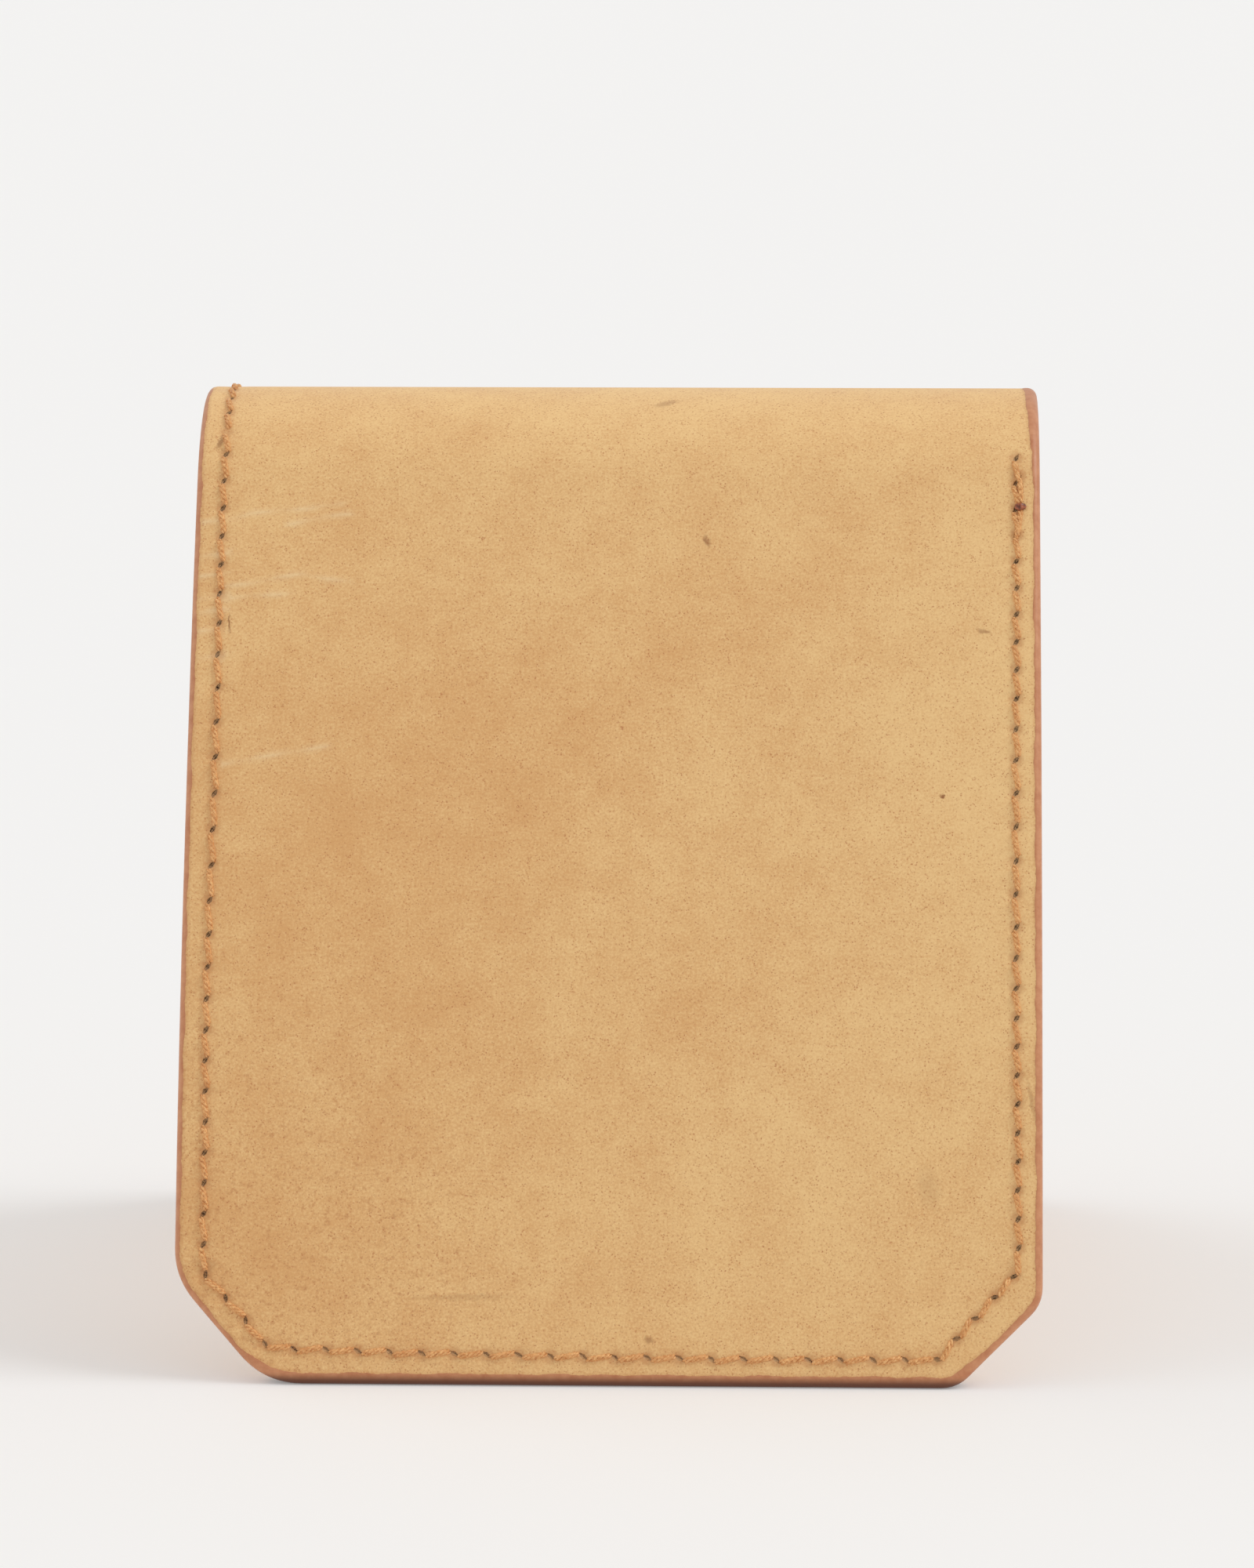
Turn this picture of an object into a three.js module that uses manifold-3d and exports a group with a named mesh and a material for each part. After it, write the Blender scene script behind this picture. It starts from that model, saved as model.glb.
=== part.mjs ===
// A folding card holder of vegetable-tanned leather. It stands like a tent, on the open edges of two leaves.
// Millimetres, +Z up, X along the fold, the front leaf towards -Y, both feet on Z = 0.
// Each layer is cut flat and then bent, so a place on it is given in the flat pattern:
//   s  from the top of the fold, along the outside of the leather, to the front leaf's foot
//   x  along the fold
//   t  depth below the outside of the leather
import * as THREE from "three";
import { mergeVertices } from "three/addons/utils/BufferGeometryUtils.js";
import Module from "manifold-3d";

const wasm = await Module();
wasm.setup();

// ---- Driving dimensions ------------------------------------------------------------------------

const WIDTH = 95; // along the fold
const FOLD_RADIUS = 17; // outside of the fold
const LEAN_AT_FOLD = 28; // degrees from upright, where a leaf leaves the fold
const LEAN_AT_FOOT = 14; // less than at the fold, because each leaf bows outwards
const LEAF_LENGTH = 103; // from the fold to the foot

const SHELL_THICKNESS = 1.6;
const LINING_THICKNESS = 0.7;
const POCKET_THICKNESS = 0.8;
const GLUE_LINE = 0.06; // between two layers that are glued and sewn together
const SLOT = 0.35; // an empty pocket's gap to the layer behind it; the leather gives when a card goes in

const CUT_LEFT = { across: 9.8, up: 12 }; // the corners cut off at a leaf's foot
const CUT_RIGHT = { across: 9.3, up: 9.6 };
const CUT_ROUNDING = 2.2;

const SEAM_INSET = 3.1; // from the edge of the leather to the seam
const SEAM_WIDTH = 0.7;
const SEAM_HEIGHT = 0.3;
const SEAM_START = 16.5; // the flat place where the seam begins on the right, just below the fold

// Each pocket's mouth and the end of the tongue that the upper two have, both up from the foot.
const POCKETS = {
  upper: { mouth: 78, tongueEnd: 26 },
  middle: { mouth: 63.5, tongueEnd: 13 },
  lower: { mouth: 49 },
};
const TONGUE_HALF_WIDTH = 40;
const RIM = 3.8; // the sewn rim of a pocket, which lies flat on the lining
const RAMP = 0.8; // from the rim up to the raised part
const BOTTOM_RAMP = 5; // the same at the foot, where it is gentler
const THUMB_RADIUS = 9.5; // the thumb cut in the lowest pocket's mouth
const POCKET_SEAM_INSET = 3; // from the tongue's end to the seam that holds it
const POCKET_SEAM_HEIGHT = 0.2;

const STRIPS = 5; // the fold is made of these strips, with a hinge along both sides of each
const CLOSES_BY = 8.3; // degrees at each hinge, from the tent to shut
const HINGE_CLEARANCE = 0.1;

// ---- The bend ----------------------------------------------------------------------------------

const radians = THREE.MathUtils.degToRad;
const FOLD_ANGLE = radians(90 - LEAN_AT_FOLD); // from the top of the fold to a leaf
const FOLD_LENGTH = FOLD_RADIUS * FOLD_ANGLE;
const FOOT_ANGLE = radians(90 - LEAN_AT_FOOT);
const FOOT = FOLD_LENGTH + LEAF_LENGTH;
const BOW_RADIUS = LEAF_LENGTH / (FOOT_ANGLE - FOLD_ANGLE);
const LEAF_HEIGHT = BOW_RADIUS * (Math.cos(FOLD_ANGLE) - Math.cos(FOOT_ANGLE));
const FOLD_CENTRE_HEIGHT = LEAF_HEIGHT - FOLD_RADIUS * Math.cos(FOLD_ANGLE);

// The hinges lie where flat planes that touch the fold meet, so the strips line up when it opens flat.
const HINGES = STRIPS + 1;
const OPENS_BY = (2 * FOLD_ANGLE) / HINGES;
const HINGE_RADIUS = FOLD_RADIUS / Math.cos(OPENS_BY / 2);
const STRIP_LENGTH = FOLD_RADIUS * OPENS_BY;
const LAST_HINGE = STRIPS / 2;

// The place of (s, t) seen from the side, as (y, z).
function bent(s, t) {
  const onLeaf = s > FOLD_LENGTH;
  const turn = onLeaf ? FOLD_ANGLE + (s - FOLD_LENGTH) / BOW_RADIUS : s / FOLD_RADIUS;
  const outward = new THREE.Vector2(-Math.sin(turn), Math.cos(turn));
  const centre = new THREE.Vector2(0, FOLD_CENTRE_HEIGHT);
  if (!onLeaf) return centre.addScaledVector(outward, FOLD_RADIUS - t);
  const towardsFold = new THREE.Vector2(-Math.sin(FOLD_ANGLE), Math.cos(FOLD_ANGLE));
  centre.addScaledVector(towardsFold, FOLD_RADIUS - BOW_RADIUS);
  return centre.addScaledVector(outward, BOW_RADIUS - t);
}

// Where a layer stops at depth t beside a hinge, so that layers don't meet when it shuts or opens.
// place counts strips from the top of the fold, and side is 1 on the foot's side of the hinge.
function besideHinge(place, t, side) {
  const inside = t + HINGE_RADIUS - FOLD_RADIUS;
  const swing = inside > 0 ? radians(CLOSES_BY) : OPENS_BY;
  const gap = HINGE_CLEARANCE + Math.abs(inside) * Math.tan(swing / 2);
  return FOLD_RADIUS * (place * OPENS_BY + (side * gap) / (FOLD_RADIUS - t));
}

// ---- Solids ------------------------------------------------------------------------------------

const FOLD_STATION = STRIP_LENGTH / 2;
const LEAF_STATION = LEAF_LENGTH / 9;
const SHORTEST_FACET = 0.4;

// The flat places from a to b where a bent layer has an edge between two flat faces.
function stations(a, b) {
  const all = [];
  for (let n = -HINGES; n < HINGES; n++) all.push(n * FOLD_STATION);
  for (let s = FOLD_LENGTH; s < FOOT + 2 * LEAF_STATION; s += LEAF_STATION) all.push(s);
  return [a, ...all.filter((s) => s > a + SHORTEST_FACET && s < b - SHORTEST_FACET), b];
}

// A bent layer from depth outer to depth inner. ends(t) gives the flat places of its two ends.
function layer(outer, inner, ends, x0 = -WIDTH / 2, x1 = WIDTH / 2) {
  const along = (t) => stations(...ends(t)).map((s) => bent(s, t));
  const profile = new THREE.Shape([...along(outer), ...along(inner).reverse()]);
  const solid = new THREE.ExtrudeGeometry(profile, { depth: x1 - x0, bevelEnabled: false });
  const X = new THREE.Vector3(1, 0, 0);
  const Y = new THREE.Vector3(0, 1, 0);
  const Z = new THREE.Vector3(0, 0, 1);
  return solid.applyMatrix4(new THREE.Matrix4().makeBasis(Y, Z, X)).translate(x0, 0, 0);
}

// A bent layer whose depth changes over it, with the given flat places as its grid.
function shapedLayer(thickness, sPlaces, xPlaces, depthAt) {
  const across = xPlaces.length - 1;
  const along = sPlaces.length - 1;
  const solid = new THREE.BoxGeometry(1, 1, 1, across, along, 1);
  const corners = solid.getAttribute("position");
  for (let i = 0; i < corners.count; i++) {
    const x = xPlaces[Math.round((corners.getX(i) + 0.5) * across)];
    const s = sPlaces[Math.round((0.5 - corners.getY(i)) * along)];
    const t = depthAt(s, x) + (corners.getZ(i) < 0 ? thickness : 0);
    const place = bent(s, t);
    corners.setXYZ(i, x, place.x, place.y);
  }
  return solid;
}

// ---- Cutting -----------------------------------------------------------------------------------

function toManifold(geometry) {
  const bare = geometry.clone();
  bare.deleteAttribute("normal");
  bare.deleteAttribute("uv");
  const merged = mergeVertices(bare, 1e-4);
  const vertProperties = new Float32Array(merged.getAttribute("position").array);
  const triVerts = new Uint32Array(merged.index.array);
  return new wasm.Manifold(new wasm.Mesh({ numProp: 3, vertProperties, triVerts }));
}

function fromManifold(solid) {
  const { vertProperties, triVerts } = solid.getMesh();
  const made = new THREE.BufferGeometry();
  made.setAttribute("position", new THREE.BufferAttribute(new Float32Array(vertProperties), 3));
  made.setIndex(new THREE.BufferAttribute(new Uint32Array(triVerts), 1));
  made.computeVertexNormals();
  return made;
}

// The part of a geometry that is inside all of keep and outside all of remove.
function trimmed(geometry, { keep = [], remove = [] }) {
  let solid = toManifold(geometry);
  for (const keeper of keep) solid = solid.intersect(toManifold(keeper));
  for (const cutter of remove) solid = solid.subtract(toManifold(cutter));
  return fromManifold(solid);
}

// The same piece on the back leaf. Its triangles are turned over, so that they still face out.
function mirrored(geometry) {
  const other = geometry.clone().scale(1, -1, 1);
  const corners = other.index.array;
  for (let i = 0; i < corners.length; i += 3) {
    [corners[i], corners[i + 1]] = [corners[i + 1], corners[i]];
  }
  other.computeVertexNormals();
  return other;
}

// A shape drawn on the plane from a leaf's foot to the fold, x across and y up, as a deep prism.
function throughLeaf(shape) {
  const DEEP = 40;
  const foot = bent(FOOT, 0);
  const top = bent(FOLD_LENGTH, 0);
  const lean = Math.atan2(top.x - foot.x, top.y - foot.y);
  const prism = new THREE.ExtrudeGeometry(shape, { depth: DEEP, bevelEnabled: false, curveSegments: 4 });
  return prism.translate(0, 0, -DEEP / 2).rotateX(Math.PI / 2 - lean).translate(0, foot.x, foot.y);
}

// A closed shape through the points, with every corner rounded.
function roundedShape(points, radius) {
  const shape = new THREE.Shape();
  points.forEach((corner, i) => {
    const towards = (other) => other.clone().sub(corner).setLength(radius).add(corner);
    const start = towards(points.at(i - 1));
    const end = towards(points[(i + 1) % points.length]);
    if (i === 0) shape.moveTo(start.x, start.y);
    else shape.lineTo(start.x, start.y);
    shape.quadraticCurveTo(corner.x, corner.y, end.x, end.y);
  });
  return shape.closePath();
}

// The two ends of the slanting cut at a foot's corner, measured from that corner and moved in by inset.
function cornerCut({ across, up }, inset, bottom) {
  const reach = up * across + inset * Math.hypot(across, up);
  return { up: (reach - inset * up) / across, across: (reach - bottom * across) / up };
}

// A leaf's outline, moved in by inset. It goes on past the fold at the top.
function leafOutline(inset, bottom) {
  const half = WIDTH / 2;
  const left = cornerCut(CUT_LEFT, inset, bottom);
  const right = cornerCut(CUT_RIGHT, inset, bottom);
  const top = 2 * LEAF_LENGTH;
  const points = [
    new THREE.Vector2(-half + inset, top),
    new THREE.Vector2(-half + inset, left.up),
    new THREE.Vector2(-half + left.across, bottom),
    new THREE.Vector2(half - right.across, bottom),
    new THREE.Vector2(half - inset, right.up),
    new THREE.Vector2(half - inset, top),
  ];
  return throughLeaf(roundedShape(points, CUT_ROUNDING));
}

function rectangle(x0, x1, y0, y1) {
  const corners = [[x0, y0], [x1, y0], [x1, y1], [x0, y1]];
  return new THREE.Shape(corners.map(([x, y]) => new THREE.Vector2(x, y)));
}

// The leather runs on below the floor at first, so that its foot is cut off flat on Z = 0 to stand on.
const PAST_FOOT = 4;
const FLOOR = new THREE.BoxGeometry(3 * WIDTH, 3 * WIDTH, WIDTH).translate(0, 0, -WIDTH / 2);
const FOOT_TRIM = { keep: [leafOutline(0, -3 * PAST_FOOT)], remove: [FLOOR] };

// ---- The leather -------------------------------------------------------------------------------

const LINING_DEPTH = SHELL_THICKNESS + GLUE_LINE;
const POCKET_DEPTH = LINING_DEPTH + LINING_THICKNESS + GLUE_LINE;

const leafEnds = (t) => [besideHinge(LAST_HINGE, t, 1), FOOT + PAST_FOOT];
const stripEnds = (n) => (t) => [besideHinge(n - 0.5, t, 1), besideHinge(n + 0.5, t, -1)];

function leafOf(depth, thickness) {
  return trimmed(layer(depth, depth + thickness, leafEnds), FOOT_TRIM);
}

function stripOf(depth, thickness, n) {
  return trimmed(layer(depth, depth + thickness, stripEnds(n)), {});
}

// ---- The pockets -------------------------------------------------------------------------------

const POCKET_NAMES = Object.keys(POCKETS);

// The depth of a pocket's raised part: each lies over the one above it, with a slot between.
function raisedDepth(name) {
  const before = POCKET_NAMES.indexOf(name);
  return LINING_DEPTH + LINING_THICKNESS + SLOT + before * (POCKET_THICKNESS + SLOT);
}

// A pocket lies on the lining along its sides, and the lowest one along the foot too.
function pocketLayer(name, bottom) {
  const half = WIDTH / 2;
  const isLowest = name === "lower";
  const top = FOOT - POCKETS[name].mouth;
  const rampStart = FOOT - RIM - BOTTOM_RAMP;
  const rampEnd = FOOT - RIM;
  const xPlaces = [-half, -half + RIM, -half + RIM + RAMP, half - RIM - RAMP, half - RIM, half];
  const sPlaces = stations(top, bottom);
  if (isLowest) sPlaces.push(rampStart, rampEnd);
  sPlaces.sort((a, b) => a - b);
  const onRim = (s, x) => Math.abs(x) > half - RIM - RAMP / 2 || (isLowest && s > rampEnd - 0.1);
  const depthAt = (s, x) => (onRim(s, x) ? POCKET_DEPTH : raisedDepth(name));
  return shapedLayer(POCKET_THICKNESS, sPlaces, xPlaces, depthAt);
}

// An upper pocket is a T: full width down to the next mouth, then a tongue behind the next pocket.
function tonguePocket(name, nextName) {
  const { tongueEnd } = POCKETS[name];
  const shoulder = POCKETS[nextName].mouth + 0.3;
  const past = WIDTH;
  const left = throughLeaf(rectangle(-past, -TONGUE_HALF_WIDTH, -past, shoulder));
  const right = throughLeaf(rectangle(TONGUE_HALF_WIDTH, past, -past, shoulder));
  return trimmed(pocketLayer(name, FOOT - tongueEnd), { remove: [left, right] });
}

function lowestPocket() {
  const thumb = new THREE.Shape().absarc(0, POCKETS.lower.mouth, THUMB_RADIUS, 0, 2 * Math.PI);
  const { keep, remove } = FOOT_TRIM;
  return trimmed(pocketLayer("lower", FOOT + PAST_FOOT), { keep, remove: [...remove, throughLeaf(thumb)] });
}

// The seam across a tongue's end, which holds it to the lining.
function pocketSeam(name) {
  const depth = raisedDepth(name) + POCKET_THICKNESS + GLUE_LINE;
  const top = FOOT - POCKETS[name].tongueEnd - POCKET_SEAM_INSET;
  const half = TONGUE_HALF_WIDTH - POCKET_SEAM_INSET;
  return trimmed(layer(depth, depth + POCKET_SEAM_HEIGHT, () => [top, top + SEAM_WIDTH], -half, half), {});
}

// ---- The seam ----------------------------------------------------------------------------------
// It runs down the right side of each leaf, round the foot, up the left side and over the fold.

const SEAM_DEPTHS = [-GLUE_LINE - SEAM_HEIGHT, -GLUE_LINE];

function leafSeam() {
  const outer = SEAM_INSET - SEAM_WIDTH / 2;
  const inner = SEAM_INSET + SEAM_WIDTH / 2;
  const unsewn = throughLeaf(rectangle(0, WIDTH, FOOT - SEAM_START, 2 * LEAF_LENGTH + 1));
  const trim = { keep: [leafOutline(outer, outer)], remove: [leafOutline(inner, inner), unsewn] };
  return trimmed(layer(...SEAM_DEPTHS, leafEnds), trim);
}

function stripSeam(n) {
  const middle = -WIDTH / 2 + SEAM_INSET;
  const half = SEAM_WIDTH / 2;
  return trimmed(layer(...SEAM_DEPTHS, stripEnds(n), middle - half, middle + half), {});
}

// ---- The assembly ------------------------------------------------------------------------------

const LEATHER = { color: 0xd6a877, roughness: 0.55, metalness: 0 };
const LINING = { color: 0xd9b283, roughness: 0.7, metalness: 0 };
const POCKET = { color: 0xd7ab79, roughness: 0.6, metalness: 0 };
const THREAD = { color: 0xe1a569, roughness: 0.65, metalness: 0 };

const object = new THREE.Group();

function add(name, geometry, look) {
  const mesh = new THREE.Mesh(geometry, new THREE.MeshStandardMaterial(look));
  mesh.name = name;
  object.add(mesh);
}

function addToBothLeaves(name, geometry, look) {
  add(`front_${name}`, geometry, look);
  add(`back_${name}`, mirrored(geometry), look);
}

addToBothLeaves("shell", leafOf(0, SHELL_THICKNESS), LEATHER);
addToBothLeaves("lining", leafOf(LINING_DEPTH, LINING_THICKNESS), LINING);
addToBothLeaves("upper_pocket", tonguePocket("upper", "middle"), POCKET);
addToBothLeaves("middle_pocket", tonguePocket("middle", "lower"), POCKET);
addToBothLeaves("lower_pocket", lowestPocket(), POCKET);
addToBothLeaves("upper_pocket_seam", pocketSeam("upper"), THREAD);
addToBothLeaves("middle_pocket_seam", pocketSeam("middle"), THREAD);
addToBothLeaves("seam", leafSeam(), THREAD);

// The strips of the fold are named from the back leaf to the front leaf, 1 to 5.
for (let n = -(STRIPS - 1) / 2; n <= (STRIPS - 1) / 2; n++) {
  const number = n + (STRIPS + 1) / 2;
  add(`fold_shell_${number}`, stripOf(0, SHELL_THICKNESS, n), LEATHER);
  add(`fold_lining_${number}`, stripOf(LINING_DEPTH, LINING_THICKNESS, n), LINING);
  add(`fold_seam_${number}`, stripSeam(n), THREAD);
}

export default object;
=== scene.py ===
# %% [markdown]
# # A folding leather card holder
#
# One piece of thick vegetable-tanned leather is folded over and stands on its two open edges like a
# tent. Inside are a thin lining and three card pockets on each leaf. One twisted thread sews them all
# together near the edge, and the edges are rounded, sanded and painted.
#
# The imported model gives the plain solids and the joints. This lesson builds the leather, the thread and
# the painted edges around them, piece by piece, so that each piece takes the place of plain solids. The
# pockets, the tongue threads and the melted ends are hung on the leaves' bodies.

# %% Load the imported model
import math

import bmesh
import bpy
import numpy as np
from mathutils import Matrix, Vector, noise
from mathutils.geometry import delaunay_2d_cdt
from mathutils.kdtree import KDTree


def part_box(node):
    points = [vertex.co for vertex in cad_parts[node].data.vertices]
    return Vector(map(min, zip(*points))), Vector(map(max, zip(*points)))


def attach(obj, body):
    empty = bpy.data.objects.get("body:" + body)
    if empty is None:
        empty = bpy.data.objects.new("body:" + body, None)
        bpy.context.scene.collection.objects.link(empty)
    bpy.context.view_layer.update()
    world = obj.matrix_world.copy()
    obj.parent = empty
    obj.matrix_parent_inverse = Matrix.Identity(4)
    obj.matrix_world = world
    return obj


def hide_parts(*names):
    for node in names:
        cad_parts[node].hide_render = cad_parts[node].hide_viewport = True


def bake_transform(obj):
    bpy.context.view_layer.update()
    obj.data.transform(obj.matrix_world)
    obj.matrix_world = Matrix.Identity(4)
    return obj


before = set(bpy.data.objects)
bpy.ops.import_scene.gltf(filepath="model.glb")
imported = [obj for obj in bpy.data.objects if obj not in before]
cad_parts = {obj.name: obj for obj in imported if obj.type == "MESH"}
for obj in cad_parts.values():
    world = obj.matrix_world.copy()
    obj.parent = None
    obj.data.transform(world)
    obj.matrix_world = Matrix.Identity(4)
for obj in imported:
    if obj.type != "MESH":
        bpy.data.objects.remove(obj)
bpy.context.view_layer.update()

# %% [markdown]
# ## The flat pattern
#
# A leather worker cuts every layer flat and bends it afterwards. This lesson does the same: each place on
# the card holder is given on the flat pattern, in millimetres, as
#
# - x, along the fold, 0 in the middle,
# - s, from the top of the fold along the outside of the leather, positive towards the front foot,
# - t, the depth below the outside of the leather.
#
# One function, bend, then turns flat places into real ones. Everything that has to run on from one piece
# to the next, such as the grain, the seam and the edge paint, is worked out on the flat pattern, so it
# doesn't matter where the pieces are parted.

# %% The sizes of the pattern
MM = 0.001
WIDTH = 2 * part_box("front_shell")[1][0] / MM
FOLD_RADIUS = 17.0
LEAN_AT_FOLD = math.radians(28)
LEAN_AT_FOOT = math.radians(14)
LEAF_LENGTH = 103.0

FOLD_ANGLE = math.pi / 2 - LEAN_AT_FOLD
FOLD_LENGTH = FOLD_RADIUS * FOLD_ANGLE
FOOT = FOLD_LENGTH + LEAF_LENGTH
BOW_RADIUS = LEAF_LENGTH / (LEAN_AT_FOLD - LEAN_AT_FOOT)
LEAF_HEIGHT = BOW_RADIUS * (math.sin(LEAN_AT_FOLD) - math.sin(LEAN_AT_FOOT))
FOLD_CENTRE_HEIGHT = LEAF_HEIGHT - FOLD_RADIUS * math.cos(FOLD_ANGLE)

SHELL = 1.6
LINING = 0.7
POCKET = 0.8
GLUE = 0.06
LINING_TOP = SHELL + GLUE
POCKET_TOP = LINING_TOP + LINING + GLUE
print("width", round(WIDTH, 2), "mm; from the top of the fold to a foot", round(FOOT, 1), "mm")

# %% Bend flat places
def smooth(low, high, value):
    """0 below low, 1 above high, and a smooth ramp between them."""
    v = np.clip((value - low) / (high - low), 0.0, 1.0)
    return v * v * (3 - 2 * v)


def bend(x, s, t):
    """The real places, in metres, of the flat places (x, s) at depth t."""
    x, s, t = np.broadcast_arrays(np.asarray(x, float), np.asarray(s, float), np.asarray(t, float))
    t = t - hand_shape(x, s)
    a = np.abs(s)
    a = a - t * math.tan(LEAN_AT_FOOT) * smooth(FOOT - 10, FOOT, a)  # the foot is trimmed level
    on_leaf = a > FOLD_LENGTH
    turn = np.where(on_leaf, FOLD_ANGLE + (a - FOLD_LENGTH) / BOW_RADIUS, a / FOLD_RADIUS)
    radius = np.where(on_leaf, BOW_RADIUS, FOLD_RADIUS)
    apart = radius - FOLD_RADIUS
    out = np.sin(turn) * (radius - t) - math.sin(FOLD_ANGLE) * apart
    up = FOLD_CENTRE_HEIGHT + np.cos(turn) * (radius - t) - math.cos(FOLD_ANGLE) * apart
    return np.stack([x, np.where(s > 0, -out, out), np.maximum(up, 0.0)], axis=-1) * MM


def hand_shape(x, s):
    """How far the leather swells out of its true bend, because it is worked and carried by hand."""
    a = np.abs(s)
    slow = 0.16 * np.sin(x / 19 + 0.6) * np.sin(a / 27 + 0.4 * np.sign(s) + 1.3)
    quick = 0.05 * np.sin(x / 7.1 + 1.9) * np.sin(a / 8.3 + x / 21)
    return (slow + quick) * smooth(0, 22, a) * smooth(0, 14, FOOT - a)


apex = bend(0, 0, 0)
print("the top of the fold is", round(float(apex[2]) / MM, 1), "mm up")

# %% [markdown]
# ## The camera, the floor and the light
#
# The camera comes first, so that every piece can be looked at as soon as it is made. It is a long lens
# from a little above. The floor is one large pale sheet, so that it fills the view. A wide sun from the
# right and the front gives soft shadows, and the pale sky fills them.

# %% The camera
CAMERA_DISTANCE = 0.74327
CAMERA_ELEVATION = math.radians(8.08)
CAMERA_TURN = math.radians(1.818)
CAMERA_TARGET = Vector((0.000589, 0.0, 0.059084))
FOCAL_LENGTH_IN_WIDTHS = 5.1245

looking = Vector((
    -math.sin(CAMERA_TURN) * math.cos(CAMERA_ELEVATION),
    math.cos(CAMERA_TURN) * math.cos(CAMERA_ELEVATION),
    -math.sin(CAMERA_ELEVATION),
))
lens = bpy.data.cameras.new("camera")
lens.sensor_fit = "HORIZONTAL"
lens.sensor_width = 36.0
lens.lens = FOCAL_LENGTH_IN_WIDTHS * lens.sensor_width
lens.clip_start = 0.01
camera = bpy.data.objects.new("camera", lens)
camera.location = CAMERA_TARGET - looking * CAMERA_DISTANCE
camera.rotation_euler = looking.to_track_quat("-Z", "Y").to_euler()
bpy.context.scene.collection.objects.link(camera)
bpy.context.scene.camera = camera
bpy.context.scene.view_settings.view_transform = "Standard"
print("lens", round(lens.lens, 1), "mm")

# %% The floor and the light
floor_mesh = bpy.data.meshes.new("floor")
FLOOR_HALF = 15.0
corners = [(a * FLOOR_HALF, b * FLOOR_HALF, 0) for a, b in ((-1, -1), (1, -1), (1, 1), (-1, 1))]
floor_mesh.from_pydata(corners, [], [(0, 1, 2, 3)])
floor = bpy.data.objects.new("floor", floor_mesh)
bpy.context.scene.collection.objects.link(floor)
paper = bpy.data.materials.new("pale floor")
paper.use_nodes = True
paper.node_tree.nodes["Principled BSDF"].inputs["Base Color"].default_value = (0.69, 0.685, 0.68, 1)
paper.node_tree.nodes["Principled BSDF"].inputs["Roughness"].default_value = 0.9
paper.node_tree.nodes["Principled BSDF"].inputs["Emission Color"].default_value = (1.0, 0.995, 0.985, 1)
paper.node_tree.nodes["Principled BSDF"].inputs["Emission Strength"].default_value = 0.22
floor_mesh.materials.append(paper)

world = bpy.data.worlds.new("pale sky")
bpy.context.scene.world = world
world.use_nodes = True
world.node_tree.nodes["Background"].inputs["Color"].default_value = (1.0, 0.995, 0.985, 1)
world.node_tree.nodes["Background"].inputs["Strength"].default_value = 0.64


def sun(name, azimuth, elevation, strength, softness):
    """A wide sun. Azimuth 0 is in front of the card holder and 90 is on its right."""
    lamp = bpy.data.lights.new(name, "SUN")
    lamp.energy = strength
    lamp.angle = math.radians(softness)
    holder = bpy.data.objects.new(name, lamp)
    az, el = math.radians(azimuth), math.radians(elevation)
    towards = Vector((math.sin(az) * math.cos(el), -math.cos(az) * math.cos(el), math.sin(el)))
    holder.rotation_euler = (-towards).to_track_quat("-Z", "Y").to_euler()
    bpy.context.scene.collection.objects.link(holder)


sun("key light", 86, 42, 1.1, 35)
sun("fill light", -98, 38, 0.5, 60)

# %% [markdown]
# ## The seam's holes
#
# The maker pricks slanting holes along the edge and sews with two needles. Each stitch then leaves a
# hole at its forward end and goes into the next one at its backward end, so the stitches slant against
# the holes. One list of holes serves everything: the leather gets real holes there, the thread dives
# into them, and the leather dips around them.
#
# The seam starts below the fold on the right of the back leaf, runs down, round the foot, up the left
# side, over the fold and the same way round the front leaf. The stitches are a little longer in the
# middle of each side.

# %% Places along the seam
LEFT_SEAM = -44.4
RIGHT_SEAM = 44.7
CUT_LEFT = (10.0, 11.8)  # across and up, in millimetres: the slanting cut at the left of each foot
CUT_RIGHT = (9.3, 9.5)
ROUND_LEFT_SIDE = 3.2  # how far the rounding of a cut's corner reaches, in millimetres
ROUND_LEFT_FOOT = 4.2
ROUND_RIGHT = 1.8
SEAM_START_UP = 105.8
LEFT_TURN_UP = 12.0
RIGHT_TURN_UP = 12.4


def up_the_side(first, last, pitch, bulge, middle, spread):
    """Heights above the foot of the holes up one side, from first to last."""
    ups = [first]
    while ups[-1] < last:
        ups.append(ups[-1] + pitch + bulge * math.exp(-(((ups[-1] - middle) / spread) ** 2)))
    ups = np.array(ups)
    return first + (ups - first) * (last - first) / (ups[-1] - first)


def between(a, b, steps):
    """Holes at even steps from a to b, without a and b themselves."""
    return [tuple(np.array(a) + (np.array(b) - np.array(a)) * i / steps) for i in range(1, steps)]


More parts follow.
